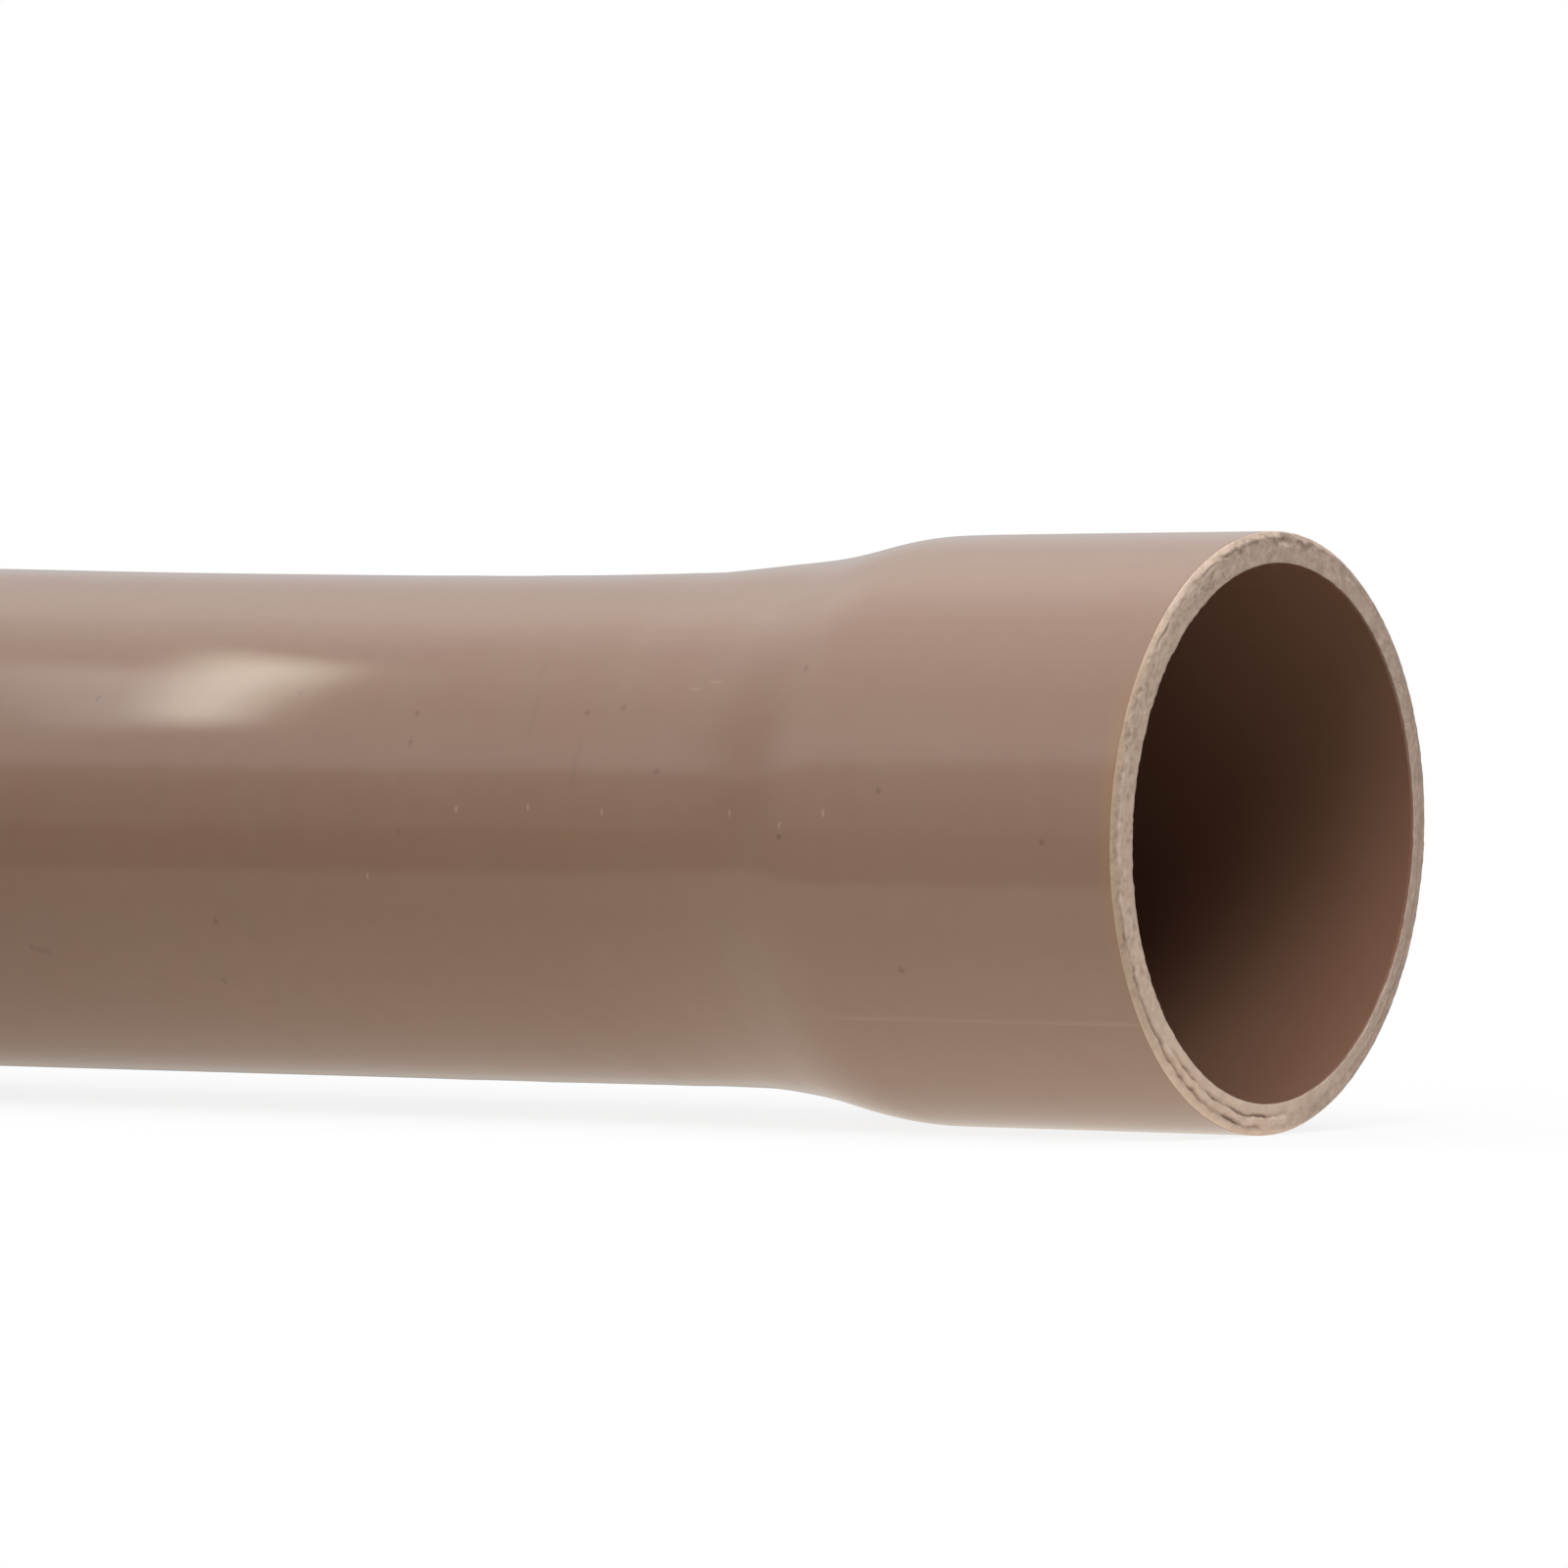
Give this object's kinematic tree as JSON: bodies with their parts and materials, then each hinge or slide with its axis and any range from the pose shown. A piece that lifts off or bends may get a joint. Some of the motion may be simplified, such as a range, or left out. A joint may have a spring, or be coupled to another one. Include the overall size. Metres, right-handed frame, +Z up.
{
  "type": "pvc water pipe",
  "caption": "Long round rigid PVC water pipe with a bell-shaped solvent-weld socket at one end and a plain sawn end at the other.",
  "frame": {"origin": "middle of the socket's mouth, on the pipe's axis", "axes": "+X along the pipe's axis and out of the socket's mouth, +Z up with the pipe lying on a floor"},
  "size_m": [3, 0.0562, 0.0562],
  "materials": {
    "pvc": "satin brown rigid PVC"
  },
  "bodies": {
    "root": {"pipe": "pvc"}
  },
  "joints": []
}
